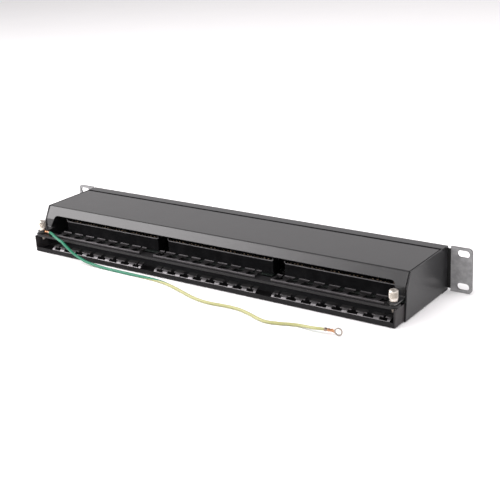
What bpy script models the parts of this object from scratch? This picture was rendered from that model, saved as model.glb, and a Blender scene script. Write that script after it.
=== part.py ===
"""Shielded 24-port rack patch panel, one rack unit high, with a rear cable tray.

The panel stands on z = 0 with its ports facing -Y and its cable side facing +Y.
The origin is the middle of its footprint. Sizes below are in millimetres, and
"depth" is the distance behind the front face.
"""
import math

import bmesh
import bpy
from mathutils import Euler, Matrix, Vector

MM = 0.001

# --- driving dimensions, in millimetres -------------------------------------
PANEL_WIDTH = 482.6            # 19-inch front plate, ear to ear
PANEL_HEIGHT = 43.7            # one rack unit, less the usual clearance
PANEL_SHEET = 1.6
OVERALL_DEPTH = 102.2
BODY_WIDTH = 434.0
SHEET = 1.2
GAP = 0.4                      # clearance between sheets that touch

SLOT_SPACING_X = 465.1         # rack slots, centre to centre
SLOT_SPACING_Z = 31.75
SLOT_LENGTH = 12.0
SLOT_WIDTH = 6.5
EAR_CORNER = 4.0
EAR_STEP = 0.02                # the ears are pressed this much thinner than the plate
RELIEF_X = 219.0               # bend relief notch between body and ear
RELIEF_WIDTH = 2.4
RELIEF_DEPTH = 2.6
FLANGE_DEPTH = 11.8            # front plate's return flanges

COVER_TOP = 43.4
COVER_FRONT = 14.4                 # leaves a groove behind the panel's top flange
COVER_SIDE_GAP = 0.9               # groove along each side wall
SHELF_DEPTHS = (16, 50)        # front ends of the shelves that the cover rests on
SHELF_LENGTH = 12
SHELF_REACH = 11               # how far a shelf stands in from the wall's outer face
COVER_BEND = 74.4              # where the cover's rear slope begins
LEG_DEPTH = 82.0               # rear face of the cover's legs
LEG_TOP = 30.5
FOOT_REAR = 99.4
FOOT_TOP = 21.9
FOOT_INNER = 204.8
OPENING_TOP = 34.7             # lower edge of the cover's rear slope
OPENING_TOP_HALF = 204.5
OPENING_FOOT_HALF = 209.5
OPENING_CORNER = 4.0
FOOT_NOSE = 5.3                # radius of a foot's end, round its screw

WALL_FOOT_DEPTH = 85.8         # side wall's rear edge at the floor
TRAY_FRONT = 84.6
TRAY_WIDTH = 430.8
LIP_HEIGHT = 4.8
LEDGE_TOP = 19.5
LEDGE_THICKNESS = 2.2
LEDGE_FRONT = 91.5
LEDGE_CORNER = 7.0

SCREW_X = 210.0
SCREW_DEPTH = 94.0
SCREW_HOLE = 2.3               # radius
SHANK = 1.9                    # radius
KNOB = 4.1                     # radius
COLLAR = 3.7
KNOB_UNDER = 25.0
SCREW_TOP = 32.7

PORTS_PER_GROUP = 8
PORT_PITCH = 15.875
GROUP_PITCH = 139.7
PORT_OFFSET = -8.5             # the three groups sit off centre, towards -X
GROUP_WIDTH = PORTS_PER_GROUP * PORT_PITCH

BOARD_BOTTOM = 12.0
BOARD_THICKNESS = 1.6
JACK_WIDTH = 15.3
JACK_BOTTOM = BOARD_BOTTOM + BOARD_THICKNESS + 0.3
JACK_HEIGHT = 15.6
JACK_FRONT = 0.2
JACK_REAR = 21.0
SOCKET_DEPTH = 14.0
SOCKET_HALF = 5.95
SOCKET_FLOOR = 3.6             # socket's floor above the jack's underside
SOCKET_HEIGHT = 7.0
LATCH_DROP = 2.4               # the two steps of the latch slot below the socket
LATCH_STEP = 1.4
LATCH_HALF = 1.7
LATCH_STEP_HALF = 3.2
DRAFT = 0.1

BLOCK_STARTS = {"front": 36.0, "rear": 60.5}     # depths of the terminal blocks
BLOCK_TOP = 30.0
BLOCK_LEDGE_TOP = 27.2
BLOCK_WALL = 5.5
BLOCK_DEPTH = 11.5
CONTACT_SLOT = 1.6             # width of a slot between two towers
CONTACT_SLOT_DEPTH = 6.8

STANDOFF_RADIUS = 2.6
STANDOFF_X = 48.0              # from the middle of its board
STANDOFF_DEPTH = 30.0

TAB_STEM = 5.4                 # cable-tie tabs, which reach forward like level Ts
TAB_HEAD = 11.0
TAB_TIP = 0.8                  # height of the upper tabs' turned-up tips
UPPER_NECK = 91.4              # depths where a tab's head begins and ends
UPPER_FRONT = 87.6
LOWER_NECK = 96.6
LOWER_FRONT = 92.3
UPPER_COMB_DEPTH = 99.7
COMB_WIDTH = 122.0
COMB_SHEET = 1.0
COMB_LIMITS = (-203.6, 186.6)  # the upper strips stop short of the foot and of the earth wire

WIRE_RADIUS = 1.4
WIRE_POINTS = 76
RING_RADIUS = 3.9              # ring terminals
RING_HOLE = 2.5
RING_SHEET = 0.7
BARREL_RADIUS = 1.65
BARREL_START = 5.2             # from the ring's middle
BARREL_END = 13.2
BARREL_LIFT = 1.7              # barrel's axis above the ring's underside

# Earth wire's centre line: x, depth and height of each point it passes.
WIRE_ROUTE = [
    (196.7, 96.7, 21.6), (192.6, 98.3, 21.7), (188.6, 100.5, 21.7), (184.4, 102.7, 21.4),
    (180.0, 104.3, 20.6), (175.6, 105.3, 19.4), (171.2, 106.0, 18.5), (166.4, 106.9, 16.1),
    (161.6, 107.5, 13.4), (156.4, 108.1, 10.6), (150.4, 108.7, 8.0), (143.8, 109.1, 5.8),
    (136.0, 109.5, 3.7), (127.0, 109.9, 2.6), (116.0, 110.2, 1.8), (102.0, 110.6, 1.5),
    (86.0, 110.9, 1.5), (70.0, 111.1, 1.5), (52.0, 111.2, 1.5), (35.0, 112.6, 1.5),
    (17.5, 117.0, 1.5), (0.5, 123.0, 1.5), (-16.5, 129.2, 1.5), (-31.0, 132.6, 1.5),
    (-43.5, 133.2, 1.5), (-54.5, 132.2, 1.5), (-65.5, 131.8, 1.5), (-76.0, 133.0, 1.5),
    (-89.0, 137.0, 1.5), (-101.0, 141.6, 1.5), (-111.0, 143.6, 1.5), (-122.0, 141.6, 1.5),
    (-132.0, 138.4, 1.5), (-141.0, 136.9, 1.7), (-148.0, 137.5, 2.3), (-154.5, 138.6, 3.1),
    (-160.6, 138.9, 3.8), (-166.6, 137.9, 3.95),
]


# --- modelling helpers ------------------------------------------------------
def clear_scene():
    """Remove whatever the file already holds."""
    for obj in list(bpy.data.objects):
        bpy.data.objects.remove(obj, do_unlink=True)


def depth(value):
    """World y, in millimetres, of a distance behind the front face."""
    return value - OVERALL_DEPTH / 2


def make_collection(name):
    """Add a collection to the scene."""
    collection = bpy.data.collections.new(name)
    bpy.context.scene.collection.children.link(collection)
    return collection


def make_material(name, colour, roughness, metallic):
    """A Principled material with one colour."""
    material = bpy.data.materials.new(name)
    material.use_nodes = True
    shader = material.node_tree.nodes["Principled BSDF"]
    shader.inputs["Base Color"].default_value = (*colour, 1.0)
    shader.inputs["Roughness"].default_value = roughness
    shader.inputs["Metallic"].default_value = metallic
    return material


def add_object(name, data, collection, material=None):
    """Link an object, with its material."""
    obj = bpy.data.objects.new(name, data)
    collection.objects.link(obj)
    if material is not None:
        data.materials.clear()
        data.materials.append(material)
    return obj


def hide_cutter(obj):
    """Show a cutter as a wire that never renders."""
    obj.hide_render = True
    obj.display_type = "WIRE"
    return obj


def arc(centre, radius, start, end, steps=6):
    """Points along an arc, with angles in degrees."""
    points = []
    for step in range(steps + 1):
        angle = math.radians(start + (end - start) * step / steps)
        points.append((centre[0] + radius * math.cos(angle), centre[1] + radius * math.sin(angle)))
    return points


def rounded_box(left, low, right, high, radius, steps=5):
    """A rectangle with round corners, counter-clockwise."""
    corners = [
        ((right - radius, low + radius), -90), ((right - radius, high - radius), 0),
        ((left + radius, high - radius), 90), ((left + radius, low + radius), 180),
    ]
    points = []
    for centre, start in corners:
        points += arc(centre, radius, start, start + 90, steps)
    return points


def box_outline(left, low, right, high):
    """A plain rectangle."""
    return [(left, low), (right, low), (right, high), (left, high)]


def circle_outline(centre, radius, steps=20):
    """A closed circle, without the repeated last point."""
    return arc(centre, radius, 0, 360, steps)[:-1]


def mesh_from(obj, name):
    """Turn an object into welded mesh data, as its modifiers show it, in world space."""
    graph = bpy.context.evaluated_depsgraph_get()
    mesh = bpy.data.meshes.new_from_object(obj.evaluated_get(graph))
    mesh.name = name
    mesh.transform(obj.matrix_world)
    work = bmesh.new()
    work.from_mesh(mesh)
    bmesh.ops.remove_doubles(work, verts=work.verts, dist=0.00001)
    bmesh.ops.recalc_face_normals(work, faces=work.faces)
    work.to_mesh(mesh)
    work.free()
    return mesh


TURN = {
    "X": Euler((math.pi / 2, 0, math.pi / 2)),
    "Y": Euler((math.pi / 2, 0, 0)),
    "Z": Euler((0, 0, 0)),
}
WAY = {"X": Vector((1, 0, 0)), "Y": Vector((0, 1, 0)), "Z": Vector((0, 0, 1))}


def prism(name, loops, axis, start, end, collection, material=None):
    """Extrude flat outlines along an axis, from start to end.

    An outline lies in (y, z) for axis X, (x, z) for Y and (x, y) for Z. Loops
    after the first that lie inside it are holes.
    """
    flat = bpy.data.curves.new(name, "CURVE")
    flat.dimensions = "2D"
    flat.fill_mode = "BOTH"
    flat.extrude = (end - start) / 2 * MM
    for loop in loops:
        spline = flat.splines.new("POLY")
        spline.points.add(len(loop) - 1)
        for point, (u, v) in zip(spline.points, loop):
            point.co = (u * MM, v * MM, 0, 1)
        spline.use_cyclic_u = True
    guide = bpy.data.objects.new(name, flat)
    collection.objects.link(guide)
    guide.rotation_euler = TURN[axis]
    guide.location = WAY[axis] * ((start + end) / 2 * MM)
    bpy.context.view_layer.update()
    mesh = mesh_from(guide, name)
    bpy.data.objects.remove(guide)
    return add_object(name, mesh, collection, material)


def folded_sheet(name, path, axis, start, end, thickness, radius, collection, material):
    """Fold a strip of sheet metal along a path, and run it along an axis.

    The path lies in (y, z) for axis X and (x, z) for Y, and has the sheet's outer
    side on its right.
    """
    work = bmesh.new()
    verts = []
    for u, v in path:
        place = (start, u, v) if axis == "X" else (u, start, v)
        verts.append(work.verts.new(Vector(place) * MM))
    edges = [work.edges.new(pair) for pair in zip(verts, verts[1:])]
    swept = bmesh.ops.extrude_edge_only(work, edges=edges)
    moved = [item for item in swept["geom"] if isinstance(item, bmesh.types.BMVert)]
    bmesh.ops.translate(work, verts=moved, vec=WAY[axis] * ((end - start) * MM))
    bmesh.ops.recalc_face_normals(work, faces=work.faces)
    (u0, v0), (u1, v1) = path[:2]
    outer = Vector((0, v1 - v0, u0 - u1)) if axis == "X" else Vector((v1 - v0, 0, u0 - u1))
    if verts[0].link_faces[0].normal.dot(outer) < 0:
        bmesh.ops.reverse_faces(work, faces=work.faces)
    mesh = bpy.data.meshes.new(name)
    work.to_mesh(mesh)
    work.free()
    obj = add_object(name, mesh, collection, material)
    bend = obj.modifiers.new("bends", "BEVEL")
    bend.width = radius * MM
    bend.segments = 3
    bend.limit_method = "ANGLE"
    bend.angle_limit = math.radians(20)
    shell = obj.modifiers.new("sheet", "SOLIDIFY")
    shell.thickness = thickness * MM
    shell.offset = -1
    shell.use_even_offset = True
    return obj


def boolean(obj, other, operation="DIFFERENCE"):
    """Cut one object with another, or join them."""
    modifier = obj.modifiers.new(other.name, "BOOLEAN")
    modifier.operation = operation
    modifier.solver = "EXACT"
    modifier.object = other
    return modifier


def bake(obj, collection, material):
    """Replace an object by the mesh that its modifiers show."""
    bpy.context.view_layer.update()
    name = obj.name
    mesh = mesh_from(obj, name)
    bpy.data.objects.remove(obj)
    return add_object(name, mesh, collection, material)


def smooth(obj, angle=35):
    """Shade round sides smooth and keep the corners sharp."""
    obj.data.shade_smooth()
    obj.data.set_sharp_from_angle(angle=math.radians(angle))
    return obj


def turned(name, profile, centre, collection, material, steps=24):
    """Turn a profile of (radius, height) points, top to bottom, about an upright axis."""
    work = bmesh.new()
    verts = [work.verts.new((radius * MM, 0, height * MM)) for radius, height in profile]
    for pair in zip(verts, verts[1:]):
        work.edges.new(pair)
    mesh = bpy.data.meshes.new(name)
    work.to_mesh(mesh)
    work.free()
    obj = add_object(name, mesh, collection, material)
    obj.location = Vector((centre[0], depth(centre[1]), 0)) * MM
    screw = obj.modifiers.new("turn", "SCREW")
    screw.steps = steps
    screw.render_steps = steps
    screw.use_merge_vertices = True
    screw.merge_threshold = 0.00001
    screw.use_smooth_shade = True
    return obj


def curve_through(points, count):
    """Evenly spaced points on a smooth curve through the given ones."""
    anchors = [Vector(point) for point in points]
    padded = [anchors[0] * 2 - anchors[1]] + anchors + [anchors[-1] * 2 - anchors[-2]]
    fine = []
    for a, b, c, d in zip(padded, padded[1:], padded[2:], padded[3:]):
        for step in range(16):
            t = step / 16
            fine.append(0.5 * (2 * b + (c - a) * t + (2 * a - 5 * b + 4 * c - d) * t * t
                               + (3 * b - a - 3 * c + d) * t ** 3))
    fine.append(anchors[-1])
    lengths = [0.0]
    for a, b in zip(fine, fine[1:]):
        lengths.append(lengths[-1] + (b - a).length)
    even = []
    place = 0
    for index in range(count):
        target = lengths[-1] * index / (count - 1)
        while place < len(fine) - 2 and lengths[place + 1] < target:
            place += 1
        share = (target - lengths[place]) / (lengths[place + 1] - lengths[place])
        even.append(fine[place].lerp(fine[place + 1], min(share, 1.0)))
    return even


def group_centre(group):
    """Middle x of a group of eight ports, counted from 0 at -X."""
    return PORT_OFFSET + (group - 1) * GROUP_PITCH


# --- sheet-metal case -------------------------------------------------------
def make_front_panel(parts, cutters, material):
    """Front plate with rack ears, three port windows and two return flanges."""
    half = PANEL_WIDTH / 2
    body = BODY_WIDTH / 2
    channel = [(FLANGE_DEPTH, PANEL_HEIGHT), (0, PANEL_HEIGHT), (0, 0), (FLANGE_DEPTH, 0)]
    panel = folded_sheet("front_panel", [(depth(d), z) for d, z in channel], "X", -body, body,
                         PANEL_SHEET, 1.8, parts, material)
    neck = RELIEF_X - RELIEF_WIDTH / 2
    outline = [(neck, RELIEF_DEPTH), (RELIEF_X + RELIEF_WIDTH / 2, RELIEF_DEPTH),
               (RELIEF_X + RELIEF_WIDTH / 2, 0)]
    outline += arc((half - EAR_CORNER, EAR_CORNER), EAR_CORNER, -90, 0)
    right_side = outline + [(x, PANEL_HEIGHT - z) for x, z in reversed(outline)]
    left_side = [(-x, z) for x, z in reversed(right_side)]
    plate = prism("ear_plate", [right_side + left_side], "Y",
                  depth(EAR_STEP), depth(PANEL_SHEET - EAR_STEP), cutters)
    boolean(panel, hide_cutter(plate), "UNION")

    holes = []
    for side in (-1, 1):
        for row in (-1, 1):
            x = side * SLOT_SPACING_X / 2
            z = PANEL_HEIGHT / 2 + row * SLOT_SPACING_Z / 2
            holes.append(rounded_box(x - SLOT_LENGTH / 2, z - SLOT_WIDTH / 2,
                                     x + SLOT_LENGTH / 2, z + SLOT_WIDTH / 2, SLOT_WIDTH / 2 - 0.01))
    for group in range(3):
        centre = group_centre(group)
        holes.append(box_outline(centre - GROUP_WIDTH / 2 - 0.1, JACK_BOTTOM - GAP,
                                 centre + GROUP_WIDTH / 2 + 0.1, JACK_BOTTOM + JACK_HEIGHT + GAP))
    cutter = prism("front_panel_holes", holes, "Y", depth(-3), depth(PANEL_SHEET + 0.6), cutters)
    boolean(panel, hide_cutter(cutter))
    return panel


def make_chassis(parts, cutters, material):
    """Floor and two side walls folded from one sheet, with shelves for the cover."""
    half = BODY_WIDTH / 2
    path = [(-half, COVER_TOP), (-half, 0), (half, 0), (half, COVER_TOP)]
    base = folded_sheet("chassis", path, "Y", depth(PANEL_SHEET + GAP), depth(WALL_FOOT_DEPTH),
                        SHEET, 1.6, parts, material)
    over = COVER_TOP + 2
    slope = [(COVER_BEND + 0.4, over), (COVER_BEND + 0.4, COVER_TOP), (LEG_DEPTH + 0.4, LEG_TOP - 1),
             (WALL_FOOT_DEPTH - 0.1, -2), (WALL_FOOT_DEPTH + 20, -2), (WALL_FOOT_DEPTH + 20, over)]
    profile = [(depth(d), z) for d, z in slope]
    boolean(base, hide_cutter(prism("wall_slope", [profile], "X", -half - 5, half + 5, cutters)))
    floor_end = box_outline(depth(TRAY_FRONT - GAP), -2, depth(WALL_FOOT_DEPTH + 5), SHEET + 3)
    boolean(base, hide_cutter(prism("floor_end", [floor_end], "X",
                                    -TRAY_WIDTH / 2 - 0.2, TRAY_WIDTH / 2 + 0.2, cutters)))
    for name, low, high in (("wall_front_low", -2, PANEL_SHEET + GAP),
                            ("wall_front_high", PANEL_HEIGHT - PANEL_SHEET - GAP, over)):
        notch = box_outline(depth(0), low, depth(FLANGE_DEPTH + GAP), high)
        boolean(base, hide_cutter(prism(name, [notch], "X", -half - 5, half + 5, cutters)))
    for side in (-1, 1):
        for number, start in enumerate(SHELF_DEPTHS):
            low, high = sorted((side * (half - SHEET / 2), side * (half - SHELF_REACH)))
            shelf = box_outline(low, depth(start), high, depth(start + SHELF_LENGTH))
            tab = prism(f"shelf_{number}_{side}", [shelf], "Z",
                        COVER_TOP - 2 * SHEET - GAP, COVER_TOP - SHEET - GAP, cutters)
            boolean(base, hide_cutter(tab), "UNION")
    return base


def make_cable_tray(parts, cutters, material):
    """Open-topped rear tray: floor, two end walls and a low rear lip."""
    work = bmesh.new()
    bmesh.ops.create_cube(work, size=1)
    top = LEDGE_TOP - LEDGE_THICKNESS - 0.3
    size = Vector((TRAY_WIDTH, OVERALL_DEPTH - TRAY_FRONT, top))
    middle = Vector((0, depth((TRAY_FRONT + OVERALL_DEPTH) / 2), top / 2))
    bmesh.ops.scale(work, verts=work.verts, vec=size * MM)
    bmesh.ops.translate(work, verts=work.verts, vec=middle * MM)
    open_faces = [face for face in work.faces if face.normal.z > 0.5 or face.normal.y < -0.5]
    bmesh.ops.delete(work, geom=open_faces, context="FACES")
    mesh = bpy.data.meshes.new("rear_cable_tray")
    work.to_mesh(mesh)
    work.free()
    tray = add_object("rear_cable_tray", mesh, parts, material)
    bend = tray.modifiers.new("bends", "BEVEL")
    bend.width = 1.6 * MM
    bend.segments = 3
    bend.limit_method = "ANGLE"
    shell = tray.modifiers.new("sheet", "SOLIDIFY")
    shell.thickness = SHEET * MM
    shell.offset = -1
    shell.use_even_offset = True
    reach = TRAY_WIDTH / 2 - SHEET - GAP
    window = box_outline(-reach, LIP_HEIGHT, reach, top + 5)
    boolean(tray, hide_cutter(prism("tray_window", [window], "Y",
                                    depth(OVERALL_DEPTH - 4), depth(OVERALL_DEPTH + 4), cutters)))
    return tray


def make_ledge(parts, material):
    """Bar across the top of the tray that the cover's feet and thumbscrews sit on."""
    half = TRAY_WIDTH / 2
    front = depth(LEDGE_FRONT)
    rear = depth(OVERALL_DEPTH)
    outline = [(-half, front), (half, front)]
    outline += arc((half - LEDGE_CORNER, rear - LEDGE_CORNER), LEDGE_CORNER, 0, 90)
    outline += arc((LEDGE_CORNER - half, rear - LEDGE_CORNER), LEDGE_CORNER, 90, 180)
    holes = [circle_outline((side * SCREW_X, depth(SCREW_DEPTH)), SCREW_HOLE) for side in (-1, 1)]
    return prism("rear_ledge", [outline] + holes, "Z", LEDGE_TOP - LEDGE_THICKNESS, LEDGE_TOP,
                 parts, material)


def make_cover(parts, cutters, material):
    """Lid with a sloping rear edge, two legs and two feet held by the thumbscrews."""
    path = [(COVER_FRONT, COVER_TOP), (COVER_BEND, COVER_TOP), (LEG_DEPTH, LEG_TOP),
            (LEG_DEPTH, FOOT_TOP), (FOOT_REAR, FOOT_TOP)]
    half = BODY_WIDTH / 2 - SHEET - COVER_SIDE_GAP
    cover = folded_sheet("top_cover", [(depth(d), z) for d, z in reversed(path)], "X", -half, half,
                         SHEET, 1.2, parts, material)
    opening = [(-OPENING_FOOT_HALF, FOOT_TOP + 0.1), (OPENING_FOOT_HALF, FOOT_TOP + 0.1)]
    inset = OPENING_TOP_HALF - OPENING_CORNER
    shoulder = OPENING_TOP - OPENING_CORNER
    opening += arc((inset, shoulder), OPENING_CORNER, 0, 90, 4)
    opening += arc((-inset, shoulder), OPENING_CORNER, 90, 180, 4)
    boolean(cover, hide_cutter(prism("cover_opening", [opening], "Y",
                                     depth(COVER_BEND + 2.6), depth(LEG_DEPTH + 2), cutters)))
    low, high = FOOT_TOP - SHEET - 1.8, FOOT_TOP + 1.5
    beyond = depth(FOOT_REAR + 2)
    between = box_outline(-FOOT_INNER, depth(LEG_DEPTH - 3), FOOT_INNER, beyond)
    boolean(cover, hide_cutter(prism("between_feet", [between], "Z", low, high, cutters)))
    for side in (-1, 1):
        x, y = side * SCREW_X, depth(SCREW_DEPTH)
        left, right = sorted((side * (FOOT_INNER - 1), side * (half + 1)))
        nose = [(left, y)] + arc((x, y), FOOT_NOSE, 180, 0, 8)
        nose += [(right, y), (right, beyond), (left, beyond)]
        hole = circle_outline((x, y), SCREW_HOLE)
        boolean(cover, hide_cutter(prism(f"foot_nose_{side}", [nose], "Z", low, high, cutters)))
        boolean(cover, hide_cutter(prism(f"foot_hole_{side}", [hole], "Z", low, high, cutters)))
    return cover


# --- cable-tie tabs ---------------------------------------------------------
def make_comb(name, group, path, necked, limits, parts, cutters, material):
    """Row of T-shaped tabs, one between every two ports, folded from a strip.

    The path is the strip's and the tabs' side view, as (depth, height) points, and the
    tabs widen to their heads at the depth necked.
    """
    centre = group_centre(group)
    half = COMB_WIDTH / 2
    left = max(centre - half, limits[0])
    right = min(centre + half, limits[1])
    comb = folded_sheet(name, [(depth(d), z) for d, z in path], "X", left, right,
                        COMB_SHEET, 0.8, parts, material)
    rear = depth(path[0][0] - 0.6 * COMB_SHEET)
    neck, front = depth(necked), depth(path[-1][0] - 2)
    places = [(number - PORTS_PER_GROUP / 2) * PORT_PITCH for number in range(PORTS_PER_GROUP + 1)]
    tabs = [centre + min(max(place, -half), half) for place in places]
    gaps = []
    for before, after in zip(tabs, tabs[1:]):
        stem_low, stem_high = before + TAB_STEM / 2, after - TAB_STEM / 2
        head_low, head_high = before + TAB_HEAD / 2, after - TAB_HEAD / 2
        gaps.append([(stem_low, rear), (stem_low, neck), (head_low, neck), (head_low, front),
                     (head_high, front), (head_high, neck), (stem_high, neck), (stem_high, rear)])
    heights = [z for _, z in path]
    cutter = prism(f"{name}_gaps", gaps, "Z", min(heights) + 1, max(heights) + 2, cutters)
    boolean(comb, hide_cutter(cutter))
    return comb


def make_upper_comb(group, parts, cutters, material):
    """Tabs on the ledge: a low upstand near its rear edge, bent forward to turned-up tips."""
    foot, bottom = UPPER_COMB_DEPTH, LEDGE_TOP + 0.3
    path = [(foot, bottom), (foot, bottom + 1.7), (foot - 1.7, bottom + 2.5),
            (UPPER_FRONT + 1.0, bottom + 1.9), (UPPER_FRONT, bottom + 2.0 + TAB_TIP)]
    return make_comb(f"upper_tie_comb_{group + 1}", group, path, UPPER_NECK, COMB_LIMITS,
                     parts, cutters, material)


def make_lower_comb(group, parts, cutters, material):
    """Tabs inside the tray: an upstand behind the lip, bent forward in three steps."""
    foot = OVERALL_DEPTH - SHEET - GAP
    path = [(foot, SHEET + GAP), (foot, LIP_HEIGHT - 0.6), (foot - 1.6, LIP_HEIGHT + 1.1),
            (LOWER_NECK, LIP_HEIGHT + 2.5), (LOWER_FRONT, LIP_HEIGHT + 3.3)]
    edge = PANEL_WIDTH / 2
    return make_comb(f"lower_tie_comb_{group + 1}", group, path, LOWER_NECK, (-edge, edge),
                     parts, cutters, material)


# --- ports, boards and terminal blocks --------------------------------------
def make_jacks(parts, cutters, material):
    """Twenty-four shielded sockets that share one mesh, latch side down."""
    half = JACK_WIDTH / 2
    top = JACK_BOTTOM + JACK_HEIGHT
    shell = prism("port_jack_mesh", [box_outline(-half, JACK_BOTTOM, half, top)], "Y",
                  depth(JACK_FRONT), depth(JACK_REAR), parts, material)
    low = JACK_BOTTOM + SOCKET_FLOOR
    right_side = [(LATCH_HALF, low - LATCH_DROP), (LATCH_HALF, low - LATCH_STEP - DRAFT),
                  (LATCH_STEP_HALF, low - LATCH_STEP), (LATCH_STEP_HALF, low - DRAFT),
                  (SOCKET_HALF, low), (SOCKET_HALF, low + SOCKET_HEIGHT)]
    socket = right_side + [(-x, z) for x, z in reversed(right_side)]
    cutter = prism("socket", [socket], "Y", depth(-2), depth(SOCKET_DEPTH), cutters)
    boolean(shell, hide_cutter(cutter))
    bpy.context.view_layer.update()
    mesh = mesh_from(shell, "port_jack")
    bpy.data.objects.remove(shell)
    for number in range(3 * PORTS_PER_GROUP):
        group, place = divmod(number, PORTS_PER_GROUP)
        jack = add_object(f"port_jack_{number + 1:02d}", mesh, parts)
        x = group_centre(group) + (place + 0.5) * PORT_PITCH - GROUP_WIDTH / 2
        jack.location = (x * MM, 0, 0)
    mesh.materials.clear()
    mesh.materials.append(material)


def make_board(group, parts, material):
    """Circuit board that joins eight sockets to their terminal blocks."""
    left = group_centre(group) - GROUP_WIDTH / 2 + GAP
    right = left + GROUP_WIDTH - 2 * GAP
    outline = box_outline(left, depth(4), right, depth(BLOCK_STARTS["rear"] + BLOCK_DEPTH + 1.5))
    return prism(f"circuit_board_{group + 1}", [outline], "Z",
                 BOARD_BOTTOM, BOARD_BOTTOM + BOARD_THICKNESS, parts, material)


def make_terminal_block(group, row, parts, cutters, material):
    """Punch-down block: a castellated wall, with a lower ledge behind it."""
    left = group_centre(group) - GROUP_WIDTH / 2 + GAP
    right = left + GROUP_WIDTH - 2 * GAP
    base = BOARD_BOTTOM + BOARD_THICKNESS + 0.3
    notch = BLOCK_TOP - CONTACT_SLOT_DEPTH
    towers = 2 * PORTS_PER_GROUP
    outline = [(left, base), (right, base), (right, BLOCK_TOP)]
    for number in range(towers - 1, 0, -1):
        low = left + (right - left) * number / towers - CONTACT_SLOT / 2
        high = low + CONTACT_SLOT
        outline += [(high, BLOCK_TOP), (high, notch), (low, notch), (low, BLOCK_TOP)]
    outline.append((left, BLOCK_TOP))
    name = f"{row}_terminal_block_{group + 1}"
    start = BLOCK_STARTS[row]
    block = prism(name, [outline], "Y", depth(start), depth(start + BLOCK_WALL), parts, material)
    ledge = box_outline(left, base, right, BLOCK_LEDGE_TOP)
    back = prism(f"{name}_ledge", [ledge], "Y",
                 depth(start + BLOCK_WALL - 0.5), depth(start + BLOCK_DEPTH), cutters)
    boolean(block, hide_cutter(back), "UNION")
    return block


def make_standoff(group, side, parts, material):
    """Spacer that carries a circuit board above the floor."""
    low = SHEET + 0.3
    high = BOARD_BOTTOM - 0.3
    profile = [(0, high), (STANDOFF_RADIUS, high), (STANDOFF_RADIUS, low), (0, low)]
    centre = (group_centre(group) + side * STANDOFF_X, STANDOFF_DEPTH)
    name = f"board_standoff_{group + 1}{'a' if side < 0 else 'b'}"
    return turned(name, profile, centre, parts, material, steps=12)


# --- fasteners and earth lead -----------------------------------------------
def make_thumbscrew(name, side, parts, material):
    """Captive thumbscrew: domed knob, collar and plain shank, turned in one piece."""
    under = FOOT_TOP + 0.3
    tip = LEDGE_TOP - 8
    profile = [(0, SCREW_TOP), (KNOB - 1.2, SCREW_TOP), (KNOB - 0.3, SCREW_TOP - 0.5),
               (KNOB, SCREW_TOP - 1.3), (KNOB, KNOB_UNDER + 0.3), (COLLAR, KNOB_UNDER), (COLLAR, under),
               (SHANK, under), (SHANK, tip + 1), (SHANK - 0.7, tip), (0, tip)]
    return turned(name, profile, (side * SCREW_X, SCREW_DEPTH), parts, material)


def make_washer(parts, material):
    """Toothless contact washer under the cover's foot, at the end with no earth lead."""
    low = LEDGE_TOP + 0.3
    centre = (-SCREW_X, depth(SCREW_DEPTH))
    loops = [circle_outline(centre, RING_RADIUS + 0.4, 24), circle_outline(centre, SCREW_HOLE)]
    return smooth(prism("contact_washer", loops, "Z", low, low + 0.6, parts, material))


def make_ring_terminal(name, parts, cutters, material):
    """Crimped ring terminal: a flat ring with a tongue, and a round barrel along its +X."""
    ring = arc((0, 0), RING_RADIUS, 24, 336, 18)
    tongue = BARREL_START + 1.2
    outline = ring + [(tongue, ring[-1][1]), (tongue, ring[0][1])]
    hole = circle_outline((0, 0), RING_HOLE, 16)
    plate = prism(name, [outline, hole], "Z", 0, RING_SHEET, parts, material)
    middle = Vector(((BARREL_START + BARREL_END) / 2, 0, BARREL_LIFT)) * MM
    along = Matrix.Translation(middle) @ Matrix.Rotation(math.pi / 2, 4, "Y")
    work = bmesh.new()
    bmesh.ops.create_cone(work, cap_ends=True, segments=14, radius1=BARREL_RADIUS * MM,
                          radius2=BARREL_RADIUS * MM, depth=(BARREL_END - BARREL_START) * MM,
                          matrix=along)
    mesh = bpy.data.meshes.new(f"{name}_barrel")
    work.to_mesh(mesh)
    work.free()
    barrel = add_object(f"{name}_barrel", mesh, cutters)
    boolean(plate, hide_cutter(barrel), "UNION")
    terminal = smooth(bake(plate, parts, material))
    bpy.data.objects.remove(barrel)
    return terminal


def place_terminals(parts, cutters, material):
    """One terminal lies clamped on the ledge, and the other stands on its rim on the floor."""
    start = Vector(WIRE_ROUTE[0])
    clamped = make_ring_terminal("ring_terminal_clamped", parts, cutters, material)
    clamped.location = Vector((SCREW_X, depth(SCREW_DEPTH), LEDGE_TOP + 0.35)) * MM
    clamped.rotation_euler = (0, 0, math.atan2(start.y - SCREW_DEPTH, start.x - SCREW_X))

    end = Vector(WIRE_ROUTE[-1])
    back = (Vector(WIRE_ROUTE[-2]) - end).to_2d().normalized()
    sideways = Vector((back.y, -back.x))
    ring = end.to_2d() - back * (BARREL_END + GAP) - sideways * BARREL_LIFT
    free = make_ring_terminal("ring_terminal_free", parts, cutters, material)
    free.location = Vector((ring.x, depth(ring.y), end.z)) * MM
    free.rotation_euler = (math.pi / 2, 0, math.atan2(back.y, back.x))


def make_wire(parts, material):
    """Earth wire: leaves the clamped terminal, drops off the ledge and lies on the floor."""
    route = [(x, depth(d), z) for x, d, z in WIRE_ROUTE]
    line = bpy.data.curves.new("earth_wire", "CURVE")
    line.dimensions = "3D"
    line.bevel_depth = WIRE_RADIUS * MM
    line.bevel_resolution = 2
    line.use_fill_caps = True
    spline = line.splines.new("POLY")
    points = curve_through(route, WIRE_POINTS)
    spline.points.add(len(points) - 1)
    for point, place in zip(spline.points, points):
        point.co = (*(place * MM), 1)
    return add_object("earth_wire", line, parts, material)


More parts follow.
